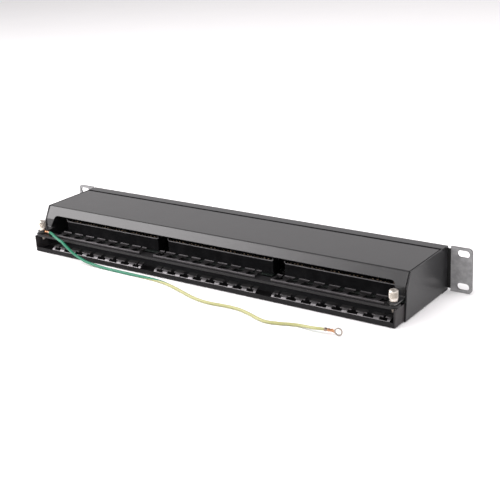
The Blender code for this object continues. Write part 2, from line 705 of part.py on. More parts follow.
def main():
    """Build every piece of the panel."""
    clear_scene()
    parts = make_collection("patch_panel")
    cutters = make_collection("cutters")

    black = make_material("black_powder_coat", (0.018, 0.018, 0.019), 0.42, 0.0)
    plated = make_material("plated_steel", (0.62, 0.62, 0.60), 0.32, 1.0)
    nickel = make_material("nickel_plate", (0.72, 0.69, 0.63), 0.28, 1.0)
    copper = make_material("tinned_copper", (0.78, 0.52, 0.38), 0.35, 1.0)
    board = make_material("circuit_board", (0.01, 0.09, 0.04), 0.45, 0.0)
    plastic = make_material("black_plastic", (0.02, 0.02, 0.022), 0.5, 0.0)
    insulation = make_material("green_yellow_insulation", (0.16, 0.55, 0.22), 0.45, 0.0)

    make_front_panel(parts, cutters, black)
    make_chassis(parts, cutters, black)
    make_cable_tray(parts, cutters, black)
    make_ledge(parts, black)
    make_cover(parts, cutters, black)
    make_jacks(parts, cutters, plated)
    for group in range(3):
        make_board(group, parts, board)
        make_terminal_block(group, "front", parts, cutters, plastic)
        make_terminal_block(group, "rear", parts, cutters, plastic)
        make_upper_comb(group, parts, cutters, plated)
        make_lower_comb(group, parts, cutters, plated)
        make_standoff(group, -1, parts, nickel)
        make_standoff(group, 1, parts, nickel)
    make_thumbscrew("thumbscrew_left", 1, parts, nickel)
    make_thumbscrew("thumbscrew_right", -1, parts, nickel)
    make_washer(parts, nickel)

    place_terminals(parts, cutters, copper)
    make_wire(parts, insulation)


main()
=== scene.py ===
"""Looks of the patch panel: camera, light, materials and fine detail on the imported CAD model.

Sizes are in metres, or in millimetres where a comment says so. The ports face -Y, the cable
side faces +Y, and +Z is up.
"""
import math

import bmesh
import bpy
from mathutils import Matrix, Vector


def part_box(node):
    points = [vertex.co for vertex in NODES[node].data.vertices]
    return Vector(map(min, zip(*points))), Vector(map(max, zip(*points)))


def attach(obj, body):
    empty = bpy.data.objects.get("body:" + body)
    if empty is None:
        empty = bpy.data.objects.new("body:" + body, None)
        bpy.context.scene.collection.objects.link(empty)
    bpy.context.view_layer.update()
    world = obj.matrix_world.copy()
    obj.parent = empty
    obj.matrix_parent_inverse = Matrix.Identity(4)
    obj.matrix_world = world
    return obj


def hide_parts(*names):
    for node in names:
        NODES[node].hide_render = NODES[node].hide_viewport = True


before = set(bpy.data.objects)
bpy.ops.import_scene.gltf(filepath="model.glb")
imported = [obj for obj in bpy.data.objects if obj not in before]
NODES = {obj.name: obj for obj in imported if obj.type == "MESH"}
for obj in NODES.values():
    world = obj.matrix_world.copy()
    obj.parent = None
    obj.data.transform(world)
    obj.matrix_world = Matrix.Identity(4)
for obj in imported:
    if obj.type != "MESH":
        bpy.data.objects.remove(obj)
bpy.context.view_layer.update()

MM = 0.001
OVERALL_DEPTH = 102.2            # mm, from the front face to the back of the tray


def nodes_with(text):
    """Names of the CAD nodes that hold a text, in order."""
    return sorted(node for node in NODES if text in node)


# --- camera -----------------------------------------------------------------
SENSOR = 36.0                    # mm
LENS = 76.15                     # mm
CLIP_START, CLIP_END = 0.05, 20.0
CAMERA_PLACE = (-0.5995, 0.7878, 0.3764)
CAMERA_FORWARD = (0.5503, -0.76246, -0.34032)
CAMERA_ROLL = -3.094             # degrees


def make_camera():
    """Look at the cable side from one side and from above, with a slight roll."""
    data = bpy.data.cameras.new("camera")
    data.sensor_width = SENSOR
    data.lens = LENS
    data.clip_start = CLIP_START
    data.clip_end = CLIP_END
    camera = bpy.data.objects.new("camera", data)
    bpy.context.scene.collection.objects.link(camera)
    forward = Vector(CAMERA_FORWARD).normalized()
    right = forward.cross(Vector((0, 0, 1))).normalized()
    up = right.cross(forward)
    roll = math.radians(CAMERA_ROLL)
    side = right * math.cos(roll) + up * math.sin(roll)
    top = up * math.cos(roll) - right * math.sin(roll)
    turn = Matrix((side, top, -forward)).transposed().to_4x4()
    camera.matrix_world = Matrix.Translation(CAMERA_PLACE) @ turn
    bpy.context.scene.camera = camera


# --- shader helpers ---------------------------------------------------------
IOR = 1.5
MIX_A, MIX_B, MIX_RESULT = 6, 7, 2      # a Mix node's colour sockets


class Shader:
    """A Principled material, with short calls for the nodes that feed it."""

    def __init__(self, name, colour, roughness, metallic=0.0, specular=0.5):
        self.material = bpy.data.materials.new(name)
        self.material.use_nodes = True
        self.tree = self.material.node_tree
        self.shader = self.tree.nodes["Principled BSDF"]
        self.shader.inputs["Base Color"].default_value = (*colour, 1)
        self.shader.inputs["Roughness"].default_value = roughness
        self.shader.inputs["Metallic"].default_value = metallic
        self.shader.inputs["Specular IOR Level"].default_value = specular
        self.shader.inputs["IOR"].default_value = IOR

    def node(self, kind, **values):
        """Add a node and set its inputs and properties; inputs have underscores for spaces."""
        node = self.tree.nodes.new(kind)
        for key, value in values.items():
            name = key.replace("_", " ")
            if name in node.inputs:
                node.inputs[name].default_value = value
            else:
                setattr(node, key, value)
        return node

    def link(self, source, target):
        """Join an output to an input."""
        self.tree.links.new(source, target)

    def split(self, vector):
        """The X, Y and Z outputs of a vector."""
        node = self.node("ShaderNodeSeparateXYZ")
        self.link(vector, node.inputs["Vector"])
        return node.outputs

    def place(self, stretch=(1, 1, 1)):
        """Object coordinates, stretched."""
        source = self.node("ShaderNodeTexCoord")
        mapping = self.node("ShaderNodeMapping", Scale=stretch)
        self.link(source.outputs["Object"], mapping.inputs["Vector"])
        return mapping.outputs["Vector"]

    def noise(self, scale, detail=2.0, stretch=(1, 1, 1)):
        """Noise of about 1 / scale metres."""
        node = self.node("ShaderNodeTexNoise", Scale=scale, Detail=detail)
        self.link(self.place(stretch), node.inputs["Vector"])
        return node.outputs["Fac"]

    def ramp(self, factor, low, high, start=0.0, end=1.0):
        """Map a factor from start..end to low..high."""
        node = self.node("ShaderNodeMapRange", From_Min=start, From_Max=end, To_Min=low,
                         To_Max=high)
        self.link(factor, node.inputs["Value"])
        return node.outputs["Result"]

    def step(self, factor, start, end):
        """0 where the factor is below start, 1 where it is above end."""
        return self.ramp(factor, 0.0, 1.0, start, end)

    def math(self, operation, first, second=0.0):
        """Combine two factors; the second may be a number."""
        node = self.node("ShaderNodeMath", operation=operation)
        self.link(first, node.inputs[0])
        if isinstance(second, (int, float)):
            node.inputs[1].default_value = second
        else:
            self.link(second, node.inputs[1])
        return node.outputs[0]

    def plus(self, first, second):
        """Sum of two factors."""
        return self.math("ADD", first, second)

    def times(self, first, second):
        """Product of two factors."""
        return self.math("MULTIPLY", first, second)

    def mix(self, factor, first, second):
        """Blend two colours; either may be a socket."""
        node = self.node("ShaderNodeMix", data_type="RGBA")
        self.link(factor, node.inputs["Factor"])
        for socket, value in ((node.inputs[MIX_A], first), (node.inputs[MIX_B], second)):
            if isinstance(value, tuple):
                socket.default_value = (*value, 1)
            else:
                self.link(value, socket)
        return node.outputs[MIX_RESULT]

    def paint(self, socket):
        """Feed the base colour."""
        self.link(socket, self.shader.inputs["Base Color"])

    def rough(self, socket):
        """Feed the roughness."""
        self.link(socket, self.shader.inputs["Roughness"])

    def bump(self, *layers):
        """Stack bumps, each a (height, strength, distance) triple."""
        normal = None
        for height, strength, distance in layers:
            node = self.node("ShaderNodeBump", Strength=strength, Distance=distance)
            self.link(height, node.inputs["Height"])
            if normal is not None:
                self.link(normal, node.inputs["Normal"])
            normal = node.outputs["Normal"]
        self.link(normal, self.shader.inputs["Normal"])

    def facing(self):
        """The X, Y and Z outputs of the way that a face looks."""
        return self.split(self.node("ShaderNodeNewGeometry").outputs["True Normal"])

    def beyond(self, reach):
        """1 on faces that look back (+Y) and lie further than reach from the middle."""
        away = self.math("ABSOLUTE", self.split(self.place())["X"])
        outside = self.step(away, reach, reach + 0.2 * MM)
        return self.times(outside, self.step(self.facing()["Y"], 0.4, 0.6))

    def sideways(self):
        """1 on faces that look towards either end (X)."""
        return self.step(self.math("ABSOLUTE", self.facing()["X"]), 0.5, 0.8)

    def edges(self, radius):
        """1 near a sharp edge and 0 on a flat: how far a rounded normal turns from the true one."""
        bevel = self.node("ShaderNodeBevel", samples=4, Radius=radius)
        true = self.node("ShaderNodeNewGeometry")
        dot = self.node("ShaderNodeVectorMath", operation="DOT_PRODUCT")
        self.link(bevel.outputs["Normal"], dot.inputs[0])
        self.link(true.outputs["Normal"], dot.inputs[1])
        return self.ramp(dot.outputs["Value"], 1.0, 0.0, 0.8, 0.995)


# --- materials --------------------------------------------------------------
BLACK = (0.017, 0.017, 0.018)
RUBBED = (0.11, 0.11, 0.115)
BARE_FROM = 0.2202               # from the middle; the ears' rear faces beyond it are bare zinc
MATT_SHADE_BAND = 0.0032               # width of the matt strip beside it, painted darker as painted shade
MATT_SHADE_BAND_ROUGHER = 0.35
DARK_EDGE_ROUGHER = 0.5
BARE_SMOOTHER = 0.19


def powder_coat(name, colour=BLACK, roughness=0.29, specular=0.38, wear_and_shade=0.55,
                edge_wear_shade_colour=RUBBED, sideways_painted_light_colour=None, bare_ears=False):
    """Satin black powder coat: fine orange peel, faint dusting, and edges of another shade.

    Lighter edges are worn paint, and darker edges are painted shade along seams and bends. Faces
    that look sideways take a lighter colour where one is given: painted light, as on the tray's
    end walls. With bare_ears, the rear faces of the ears are left in mottled bare zinc, inside a
    matt strip that is painted darker as painted shade between side wall and ear.
    """
    made = Shader(name, colour, roughness, specular=specular)
    grain = made.noise(2600.0, 3.0)
    peel = made.noise(700.0, 2.0)
    cloud = made.noise(38.0, 4.0)
    dusty = tuple(c * 1.35 + 0.001 for c in colour)
    body = made.mix(made.step(cloud, 0.35, 0.7), colour, dusty)
    # Edges take the edge colour: lighter ones are worn paint, darker ones are painted shade along
    # seams and bends.
    worn_shaded_edges = made.times(made.edges(0.4 * MM), made.step(made.noise(420.0, 4.0), 0.42, 0.66))
    coat = made.mix(made.times(worn_shaded_edges, wear_and_shade), body, edge_wear_shade_colour)
    gloss = made.ramp(made.plus(cloud, made.times(grain, 0.35)),
                      roughness - 0.015, roughness + 0.03, 0.4, 0.9)
    # Faces that look sideways are painted lighter: painted light, as on the tray's end walls.
    if sideways_painted_light_colour is not None:
        coat = made.mix(made.sideways(), coat, sideways_painted_light_colour)
    # Darker edges, which are painted shade, are made rougher too.
    if max(edge_wear_shade_colour) < max(colour):
        gloss = made.plus(gloss, made.times(made.edges(0.5 * MM), DARK_EDGE_ROUGHER))
    if bare_ears:
        # A strip beside the bare zinc is painted darker, as painted shade between side wall and
        # ear, and made rougher.
        matt_shade_band = made.beyond(BARE_FROM - MATT_SHADE_BAND)
        coat = made.mix(matt_shade_band, coat, edge_wear_shade_colour)
        gloss = made.plus(gloss, made.times(matt_shade_band, MATT_SHADE_BAND_ROUGHER))
        bare = made.beyond(BARE_FROM)
        spangle = made.step(made.noise(210.0, 4.0), 0.35, 0.65)
        coat = made.mix(bare, coat, made.mix(spangle, (0.23, 0.23, 0.232), (0.31, 0.31, 0.313)))
        gloss = made.math("SUBTRACT", gloss, made.times(bare, BARE_SMOOTHER))
    made.paint(coat)
    made.rough(gloss)
    made.bump((peel, 0.16, 0.3 * MM), (grain, 0.22, 0.12 * MM))
    return made.material


def plated_steel(name, colour, roughness, stretch=(60, 900, 900)):
    """Plated sheet with a faint rolled grain, cloudy tarnish and brighter edges."""
    made = Shader(name, colour, roughness, metallic=1.0)
    rolled = made.noise(1.0, 4.0, stretch)
    cloud = made.noise(130.0, 4.0)
    dull = tuple(c * 0.808 for c in colour)
    bright = tuple(c * 1.25 for c in colour)
    body = made.mix(made.step(cloud, 0.35, 0.72), colour, dull)
    made.paint(made.mix(made.times(made.edges(0.25 * MM), 0.7), body, bright))
    made.rough(made.ramp(made.plus(cloud, rolled), roughness - 0.08, roughness + 0.12, 0.7, 1.3))
    made.bump((rolled, 0.12, 0.2 * MM),)
    return made.material


def moulded(name, colour, roughness, specular):
    """Moulded plastic: spark-eroded texture, sink marks and slightly polished edges."""
    made = Shader(name, colour, roughness, specular=specular)
    grain = made.noise(3200.0, 2.0)
    sink = made.noise(90.0, 2.0)
    lighter = tuple(c * 1.7 + 0.006 for c in colour)
    body = made.mix(made.ramp(sink, 0.0, 0.5, 0.4, 0.7), colour, lighter)
    made.paint(made.mix(made.times(made.edges(0.2 * MM), 0.35), body, lighter))
    made.rough(made.ramp(grain, roughness - 0.07, roughness + 0.09, 0.3, 0.7))
    made.bump((sink, 0.08, 0.4 * MM), (grain, 0.2, 0.08 * MM))
    return made.material


def solder_mask(name):
    """Circuit board: black mask with copper traces showing through as paler lines."""
    mask, raised = (0.007, 0.010, 0.009), (0.022, 0.030, 0.026)
    made = Shader(name, mask, 0.4, specular=0.3)
    traces = made.node("ShaderNodeTexBrick", Scale=1.0, Mortar_Size=0.35 * MM,
                       Brick_Width=5.2 * MM, Row_Height=2.1 * MM)
    made.link(made.place(), traces.inputs["Vector"])
    made.paint(made.mix(traces.outputs["Fac"], mask, raised))
    made.rough(made.ramp(made.noise(300.0, 3.0), 0.34, 0.5))
    made.bump((traces.outputs["Fac"], 0.25, 0.06 * MM),)
    return made.material


def contact_metal(name, bright, dull):
    """Plated contact spring, clouded from a bright shade to a dull one."""
    made = Shader(name, bright, 0.24, metallic=1.0)
    cloud = made.noise(900.0, 3.0)
    made.paint(made.mix(cloud, bright, dull))
    made.rough(made.ramp(cloud, 0.18, 0.34))
    made.bump((cloud, 0.08, 0.05 * MM),)
    return made.material


def knurled_nickel(name):
    """Warm nickel plate, painted darker brown in the knurl's grooves as painted shade."""
    bright, dull, groove_shade = (0.90, 0.845, 0.775), (0.74, 0.685, 0.615), (0.16, 0.13, 0.095)
    made = Shader(name, bright, 0.3, metallic=1.0)
    shape = made.node("ShaderNodeNewGeometry")
    groove = made.ramp(shape.outputs["Pointiness"], 1.0, 0.0, 0.40, 0.50)
    cloud = made.noise(500.0, 4.0)
    worn = made.mix(made.step(cloud, 0.3, 0.75), bright, dull)
    # The knurl's grooves are painted dark brown: painted shade.
    made.paint(made.mix(made.times(groove, 0.85), worn, groove_shade))
    made.rough(made.ramp(made.plus(cloud, groove), 0.36, 0.56, 0.3, 1.4))
    made.bump((made.noise(4000.0, 2.0), 0.1, 0.04 * MM),)
    return made.material


def terminal_metal(name):
    """Tinned copper: grey on the ring, and bare, browned copper where warm is stored."""
    made = Shader(name, (0.7, 0.62, 0.55), 0.34, metallic=1.0)
    warm = made.node("ShaderNodeAttribute", attribute_name="warm")
    cloud = made.noise(900.0, 4.0)
    blend = made.plus(warm.outputs["Fac"], made.ramp(cloud, -0.25, 0.25, 0.3, 0.7))
    tin = made.mix(cloud, (0.42, 0.38, 0.34), (0.27, 0.24, 0.21))
    copper = made.mix(cloud, (0.60, 0.31, 0.165), (0.36, 0.175, 0.09))
    made.paint(made.mix(made.step(blend, 0.15, 0.85), tin, copper))
    made.rough(made.ramp(cloud, 0.28, 0.46))
    made.bump((cloud, 0.15, 0.1 * MM),)
    return made.material


def striped_insulation(name):
    """Green and yellow PVC, yellow where the stored stripe is above a half."""
    made = Shader(name, (0.2, 0.6, 0.3), 0.38)
    stripe = made.node("ShaderNodeAttribute", attribute_name="stripe")
    speck = made.noise(1400.0, 3.0)
    edge = made.plus(stripe.outputs["Fac"], made.ramp(speck, -0.06, 0.06, 0.3, 0.7))
    green = made.mix(speck, (0.008, 0.14, 0.075), (0.013, 0.175, 0.097))
    yellow = made.mix(speck, (0.355, 0.352, 0.152), (0.405, 0.40, 0.18))
    made.paint(made.mix(made.step(edge, 0.46, 0.54), green, yellow))
    made.rough(made.ramp(speck, 0.32, 0.46))
    made.shader.inputs["Subsurface Weight"].default_value = 0.08
    made.shader.inputs["Subsurface Radius"].default_value = (1.0 * MM, 1.0 * MM, 0.6 * MM)
    made.bump((speck, 0.1, 0.08 * MM),)
    return made.material


def printed_ink(name):
    """White screen-printed ink, a little worn."""
    made = Shader(name, (0.78, 0.78, 0.76), 0.5)
    cloud = made.noise(1500.0, 4.0)
    made.paint(made.mix(made.step(cloud, 0.4, 0.8), (0.80, 0.80, 0.78), (0.55, 0.55, 0.54)))
    made.rough(made.ramp(cloud, 0.42, 0.6))
    made.bump((cloud, 0.1, 0.03 * MM),)
    return made.material


def floor_paper(name):
    """Seamless white paper."""
    white, whiter = (0.93, 0.93, 0.93), (0.955, 0.955, 0.955)
    made = Shader(name, white, 0.85, specular=0.1)
    made.paint(made.mix(made.noise(8.0, 2.0), white, whiter))
    return made.material


# --- mesh helpers -----------------------------------------------------------
def add_piece(name, mesh, material, body, place=(0, 0, 0)):
    """Link a mesh as a piece that rides on a body and takes a finish."""
    piece = bpy.data.objects.new(name, mesh)
    bpy.context.scene.collection.objects.link(piece)
    piece.location = place
    mesh.materials.clear()
    mesh.materials.append(material)
    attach(piece, body)
    return piece


def finish_mesh(work, name, smooth=True, angle=35):
    """Write a bmesh to a new mesh, smooth but for corners sharper than an angle in degrees."""
    bmesh.ops.recalc_face_normals(work, faces=work.faces)
    mesh = bpy.data.meshes.new(name)
    work.to_mesh(mesh)
    work.free()
    if smooth:
        mesh.shade_smooth()
        mesh.set_sharp_from_angle(angle=math.radians(angle))
    return mesh


def add_box(work, low, high, bevel):
    """Add a box with its edges softened."""
    made = bmesh.ops.create_cube(work, size=1)
    low, high = Vector(low), Vector(high)
    bmesh.ops.scale(work, verts=made["verts"], vec=high - low)
    bmesh.ops.translate(work, verts=made["verts"], vec=(low + high) / 2)
    edges = {edge for vert in made["verts"] for edge in vert.link_edges}
    bmesh.ops.bevel(work, geom=list(edges), offset=bevel, segments=2, affect="EDGES",
                    profile=0.6)


def angles(count):
    """Even steps round a circle."""
    return [2 * math.pi * step / count for step in range(count)]


def skin(work, loops, capped=True):
    """Join each loop of vertices to the next, and close the first and the last."""
    for first, second in zip(loops, loops[1:]):
        for index in range(len(first)):
            after = (index + 1) % len(first)
            work.faces.new((first[index], first[after], second[after], second[index]))
    if capped:
        work.faces.new(loops[0][::-1])
        work.faces.new(loops[-1])


CURVE_STEPS = 16                 # between two points of a route


def curve_through(points, count):
    """Evenly spaced points on a smooth curve through the given ones, and its length."""
    anchors = [Vector(point) for point in points]
    padded = [anchors[0] * 2 - anchors[1]] + anchors + [anchors[-1] * 2 - anchors[-2]]
    fine = []
    for a, b, c, d in zip(padded, padded[1:], padded[2:], padded[3:]):
        for step in range(CURVE_STEPS):
            t = step / CURVE_STEPS
            fine.append(0.5 * (2 * b + (c - a) * t + (2 * a - 5 * b + 4 * c - d) * t * t
                               + (3 * b - a - 3 * c + d) * t ** 3))
    fine.append(anchors[-1])
    lengths = [0.0]
    for a, b in zip(fine, fine[1:]):
        lengths.append(lengths[-1] + (b - a).length)
    even = []
    place = 0
    for index in range(count):
        target = lengths[-1] * index / (count - 1)
        while place < len(fine) - 2 and lengths[place + 1] < target:
            place += 1
        share = (target - lengths[place]) / (lengths[place + 1] - lengths[place])
        even.append(fine[place].lerp(fine[place + 1], min(share, 1.0)))
    return even, lengths[-1]


# --- earth lead -------------------------------------------------------------
WIRE_RADIUS = 1.4                # mm
WIRE_RINGS = 260
WIRE_SIDES = 20
# The lead's middle line, as in the CAD model: x, depth behind the front face and height, mm.
WIRE_ROUTE = [
    (196.7, 96.7, 21.6), (192.6, 98.3, 21.7), (188.6, 100.5, 21.7), (184.4, 102.7, 21.4),
    (180.0, 104.3, 20.6), (175.6, 105.3, 19.4), (171.2, 106.0, 18.5), (166.4, 106.9, 16.1),
    (161.6, 107.5, 13.4), (156.4, 108.1, 10.6), (150.4, 108.7, 8.0), (143.8, 109.1, 5.8),
    (136.0, 109.5, 3.7), (127.0, 109.9, 2.6), (116.0, 110.2, 1.8), (102.0, 110.6, 1.5),
    (86.0, 110.9, 1.5), (70.0, 111.1, 1.5), (52.0, 111.2, 1.5), (35.0, 112.6, 1.5),
    (17.5, 117.0, 1.5), (0.5, 123.0, 1.5), (-16.5, 129.2, 1.5), (-31.0, 132.6, 1.5),
    (-43.5, 133.2, 1.5), (-54.5, 132.2, 1.5), (-65.5, 131.8, 1.5), (-76.0, 133.0, 1.5),
    (-89.0, 137.0, 1.5), (-101.0, 141.6, 1.5), (-111.0, 143.6, 1.5), (-122.0, 141.6, 1.5),
    (-132.0, 138.4, 1.5), (-141.0, 136.9, 1.7), (-148.0, 137.5, 2.3), (-154.5, 138.6, 3.1),
    (-160.6, 138.9, 3.8), (-166.6, 137.9, 3.95),
]
# Along the lead the yellow stripe turns towards the top and widens, from one share of the
# length to another.
STRIPE_FROM, STRIPE_TO = 0.30, 0.56
STRIPE_START, STRIPE_TURN = -156, 180        # degrees
STRIPE_NARROW, STRIPE_WIDENING = -0.2, 0.42


def wire_stripe(share):
    """Where the yellow stripe's middle lies round the wire, and how much it is widened."""
    blend = min(max((share - STRIPE_FROM) / (STRIPE_TO - STRIPE_FROM), 0.0), 1.0)
    blend = blend * blend * (3 - 2 * blend)
    return (math.radians(STRIPE_START + STRIPE_TURN * blend),
            STRIPE_NARROW + STRIPE_WIDENING * blend)


def make_wire(material):
    """Tube along the route, with the stripe stored round it as an attribute."""
    route = [(x * MM, (d - OVERALL_DEPTH / 2) * MM, z * MM) for x, d, z in WIRE_ROUTE]
    rings, length = curve_through(route, WIRE_RINGS)
    work = bmesh.new()
    layer = work.verts.layers.float.new("stripe")
    loops = []
    for index, centre in enumerate(rings):
        ahead = rings[min(index + 1, len(rings) - 1)] - rings[max(index - 1, 0)]
        ahead.normalize()
        across = ahead.cross(Vector((0, 0, 1))).normalized()
        upward = across.cross(ahead)
        middle, widened = wire_stripe(index / (len(rings) - 1))
        loop = []
        for angle in angles(WIRE_SIDES):
            offset = across * math.cos(angle) + upward * math.sin(angle)
            vert = work.verts.new(centre + offset * WIRE_RADIUS * MM)
            vert[layer] = 0.5 + 0.5 * math.cos(angle - middle) + widened
            loop.append(vert)
        loops.append(loop)
    skin(work, loops)
    mesh = finish_mesh(work, "earth_wire_insulation", angle=60)
    piece = add_piece("earth_wire_insulation", mesh, material, "panel")
    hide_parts("earth_wire")
    return piece, rings, length


def main_cord(insulation, metal):
    """The lead: wire and two ring terminals."""
    piece, rings, length = make_wire(insulation)
    clamped = make_terminal("clamped_terminal", "ring_terminal_clamped", metal)
    free = make_terminal("free_terminal", "ring_terminal_free", metal)


# --- ring terminals, sizes in mm --------------------------------------------
RING = 3.9                       # outer radius
HOLE = 2.5                       # radius
RING_SHEET = 0.7
RING_STEPS = 56
# Ring's section: radius and height.
RING_PROFILE = [
    (HOLE, 0.06), (HOLE + 0.08, 0.0), (RING - 0.12, 0.0), (RING, 0.14),
    (RING, RING_SHEET - 0.14), (RING - 0.12, RING_SHEET), (HOLE + 0.08, RING_SHEET),
    (HOLE, RING_SHEET - 0.06),
]
BARREL = 1.65                    # radius
BARREL_END = 13.2
BARREL_LIFT = 1.7                # height of its middle line
BARREL_SIDES = 28
THIN = 0.5                       # sections lower than this are squarish
# Tongue and barrel, from a flat strip to a round crimp, its bell mouth and its bore: distance
# from the hole, half width, half height, and height of the middle.
BARREL_SECTIONS = [
    (3.3, 1.75, 0.35, RING_SHEET / 2), (4.3, 1.45, 0.38, RING_SHEET / 2 + 0.05),
    (5.0, 1.35, 0.85, 0.95), (5.5, 1.50, 1.42, BARREL_LIFT - 0.12),
    (6.2, 1.52, 1.48, BARREL_LIFT - 0.05), (6.8, 1.42, 1.18, BARREL_LIFT - 0.2),
    (8.2, 1.40, 1.12, BARREL_LIFT - 0.22), (8.8, 1.52, 1.46, BARREL_LIFT - 0.05),
    (9.7, 1.50, 1.48, BARREL_LIFT), (10.1, 1.34, 1.34, BARREL_LIFT),
    (10.7, 1.36, 1.36, BARREL_LIFT), (11.1, 1.62, 1.62, BARREL_LIFT),
    (13.0, BARREL, BARREL, BARREL_LIFT), (BARREL_END, BARREL - 0.08, BARREL - 0.08, BARREL_LIFT),
    (BARREL_END, BARREL - 0.3, BARREL - 0.3, BARREL_LIFT),
    (BARREL_END - 0.7, BARREL - 0.34, BARREL - 0.34, BARREL_LIFT),
]
COPPER_FROM, COPPER_BLEND = 3.0, 1.4         # where bare copper starts, and over what length
SLEEVE_FROM, SLEEVE_WARMTH = 10.4, 0.3       # the mouth is tinned again
SCREW_X = 210.0
SCREW_DEPTH = 94.0


def terminal_mesh(name):
    """Ring with a tongue that closes into a crimped barrel, along +X."""
    work = bmesh.new()
    warm = work.verts.layers.float.new("warm")
    loops = [[work.verts.new((radius * math.cos(angle) * MM, radius * math.sin(angle) * MM,
                              z * MM)) for angle in angles(RING_STEPS)]
             for radius, z in RING_PROFILE]
    skin(work, loops + loops[:1], capped=False)
    loops = []
    for x, wide, high, middle in BARREL_SECTIONS:
        power = 0.5 if high < THIN else 1.0
        loop = []
        for angle in angles(BARREL_SIDES):
            y = wide * math.copysign(abs(math.cos(angle)) ** power, math.cos(angle))
            z = middle + high * math.copysign(abs(math.sin(angle)) ** power, math.sin(angle))
            loop.append(work.verts.new((x * MM, y * MM, max(z, 0.0) * MM)))
        loops.append(loop)
    skin(work, loops)
    for vert in work.verts:
        along = vert.co.x / MM
        vert[warm] = (min(max((along - COPPER_FROM) / COPPER_BLEND, 0.0), 1.0)
                      * (1.0 if along < SLEEVE_FROM else SLEEVE_WARMTH))
    return finish_mesh(work, name, angle=40)


def make_terminal(name, node, material):
    """A detailed terminal where its CAD solid lies: flat under the screw, or on edge."""
    start = Vector(WIRE_ROUTE[0])
    end = Vector(WIRE_ROUTE[-1])
    if name.startswith("clamped"):
        low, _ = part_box(node)
        place = Vector((SCREW_X * MM, (SCREW_DEPTH - OVERALL_DEPTH / 2) * MM, low.z))
        turn = Matrix.Rotation(math.atan2(start.y - SCREW_DEPTH, start.x - SCREW_X), 4, "Z")
    else:
        back = (Vector(WIRE_ROUTE[-2]) - end).to_2d().normalized()
        sideways = Vector((back.y, -back.x))
        ring = end.to_2d() - back * (BARREL_END + 0.4) - sideways * BARREL_LIFT
        place = Vector((ring.x, ring.y - OVERALL_DEPTH / 2, end.z)) * MM
        turn = (Matrix.Rotation(math.atan2(back.y, back.x), 4, "Z")
                @ Matrix.Rotation(math.pi / 2, 4, "X"))
    mesh = terminal_mesh(name)
    mesh.transform(Matrix.Translation(place) @ turn)
    piece = add_piece(name, mesh, material, "panel")
    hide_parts(node)
    return piece


# --- thumbscrews, sizes in mm -----------------------------------------------
KNOB = 4.1                       # radius
KNOB_UNDER = 25.0                # height of its lower face
COLLAR = 3.7                     # radius
SCREW_UNDER = 22.2               # height of the collar's lower face
SHANK = 1.88                     # radius
THREAD_ROOT = 1.55               # radius
PITCH = 0.7
KNURLS = 20
KNURL_ROWS = 44
KNURL_DEPTH = 0.42
KNURL_SLANT = 1.9
KNURL_FLAT = 0.75                # height of the knurl's wave from which the radius is full
GRIP_TOP = 1.2                   # from the knob's top to the knurl
# Domed top with its turned centre: radius and height from the top.
DOME = [(0.05, -0.35), (1.1, -0.35), (1.35, -0.1), (1.9, -0.02), (2.5, 0.0), (3.0, -0.05),
        (3.5, -0.3), (3.85, -0.75)]
# Collar with its groove: radius and height.
COLLAR_PROFILE = [
    (KNOB - 0.2, KNOB_UNDER + 0.1), (COLLAR, KNOB_UNDER), (COLLAR, SCREW_UNDER + 1.5),
    (COLLAR - 0.3, SCREW_UNDER + 1.3), (COLLAR - 0.3, SCREW_UNDER + 1.1),
    (COLLAR, SCREW_UNDER + 0.9), (COLLAR, SCREW_UNDER + 0.2), (COLLAR - 0.15, SCREW_UNDER),
    (1.95, SCREW_UNDER),
]


def screw_profile(low, top):
    """The screw's outline, from the top down: radius, height and depth of the knurl."""
    profile = [(radius, top + drop, 0.0) for radius, drop in DOME]
    grip = top - GRIP_TOP - KNOB_UNDER - 0.3
    for row in range(KNURL_ROWS + 1):
        share = row / KNURL_ROWS
        fade = min(1.0, 12 * share, 12 * (1 - share))
        profile.append((KNOB, top - GRIP_TOP - grip * share, KNURL_DEPTH * fade))
    profile += [(radius, z, 0.0) for radius, z in COLLAR_PROFILE]
    z = SCREW_UNDER - 0.4
    while z > low + 0.9:
        profile += [(SHANK, z, 0.0), (THREAD_ROOT, z - PITCH / 2, 0.0)]
        z -= PITCH
    return profile + [(1.5, low + 0.5, 0.0), (1.2, low, 0.0), (0.05, low, 0.0)]


def make_thumbscrew(name, node, body, material):
    """Turned knob with a diamond knurl and a domed top, a collar and a threaded shank."""
    low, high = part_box(node)
    centre = (low + high) / 2
    work = bmesh.new()
    loops = []
    for radius, z, knurl in screw_profile(low.z / MM, high.z / MM):
        twist = (z - SCREW_UNDER) * KNURL_SLANT / KNOB
        loop = []
        for angle in angles(KNURLS * 8):
            one = abs(math.sin((angle + twist) * KNURLS / 2))
            two = abs(math.sin((angle - twist) * KNURLS / 2))
            r = radius - knurl * (1 - min(one, two, KNURL_FLAT) / KNURL_FLAT)
            loop.append(work.verts.new((r * math.cos(angle) * MM, r * math.sin(angle) * MM,
                                        z * MM)))
        loops.append(loop[::-1])
    skin(work, loops)
    mesh = finish_mesh(work, name, angle=50)
    mesh.transform(Matrix.Translation((centre.x, centre.y, 0)))
    piece = add_piece(name, mesh, material, body)
    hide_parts(node)


# --- ports ------------------------------------------------------------------
SHEET = 0.35 * MM
SHEET_BEVEL = 0.08 * MM
SHEET_INSET = 0.3 * MM
SHIELD_SETBACK = 0.2 * MM
SHIELD_FLOOR_FROM = 3.5 * MM
SOCKET_FLOOR = 3.6 * MM
SOCKET_HEIGHT = 7.0 * MM
SOCKET_DEPTH = 13.8 * MM
# Right half of the socket's outline, with the two steps of its latch slot: x and height, mm.
SOCKET = [(1.7, -2.4), (1.7, -1.5), (3.2, -1.4), (3.2, -0.1), (5.95, 0.0), (5.95, 7.0)]
PINS = 8
PIN_PITCH = 1.02 * MM
